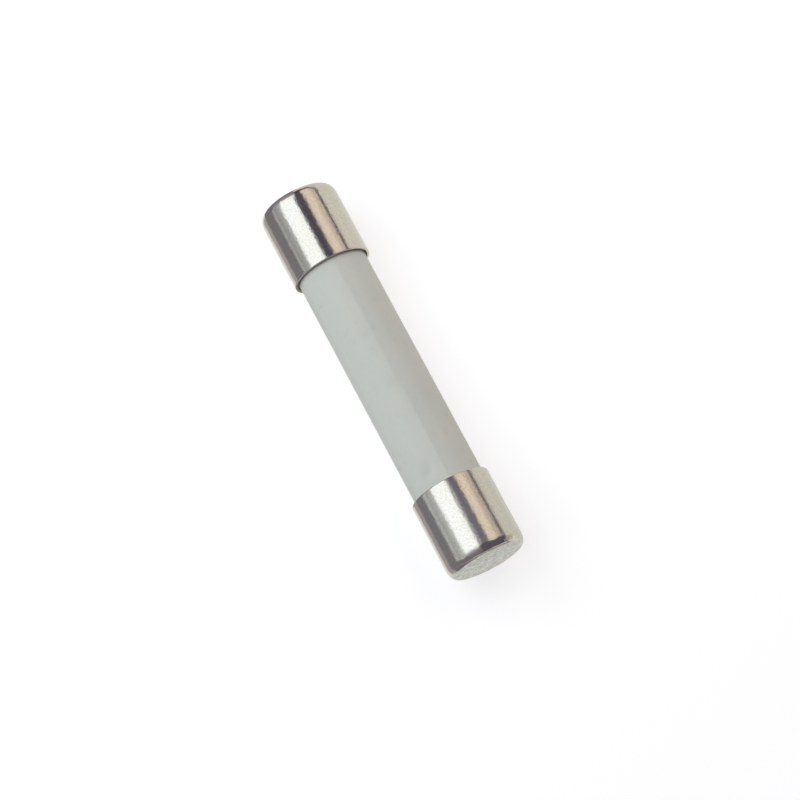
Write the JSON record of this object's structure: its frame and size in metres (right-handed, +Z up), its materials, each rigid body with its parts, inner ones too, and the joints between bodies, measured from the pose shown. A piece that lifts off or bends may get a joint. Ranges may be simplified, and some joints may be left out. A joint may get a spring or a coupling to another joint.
{
  "type": "cartridge fuse",
  "caption": "Cylindrical cartridge fuse: a ceramic tube with a plated metal cap on each end, clipped or held at the caps to protect a circuit.",
  "frame": {"origin": "on the fuse's axis, halfway between the outer faces of the two end caps", "axes": "+X along the fuse's axis towards the right end cap, +Z up with the fuse lying on its side"},
  "size_m": [0.032, 0.0064, 0.0064],
  "materials": {
    "nickel_plate": "bright nickel plate over drawn brass",
    "ceramic": "unglazed off-white ceramic, satin",
    "cement": "matt grey-brown cap cement",
    "solder": "dull tin solder",
    "fibre": "pressed vulcanised fibre",
    "sand": "quartz sand, matt",
    "yarn": "heat-resistant glass and ceramic yarn",
    "wire": "tinned copper wire"
  },
  "bodies": {
    "root": {"ceramic_tube": "ceramic", "left_end_cap": "nickel_plate", "right_end_cap": "nickel_plate", "left_cap_cement": "cement", "right_cap_cement": "cement", "left_solder_pool": "solder", "right_solder_pool": "solder", "left_fibre_washer": "fibre", "right_fibre_washer": "fibre", "quartz_sand": "sand", "element_core": "yarn", "fuse_wire": "wire"}
  },
  "joints": []
}
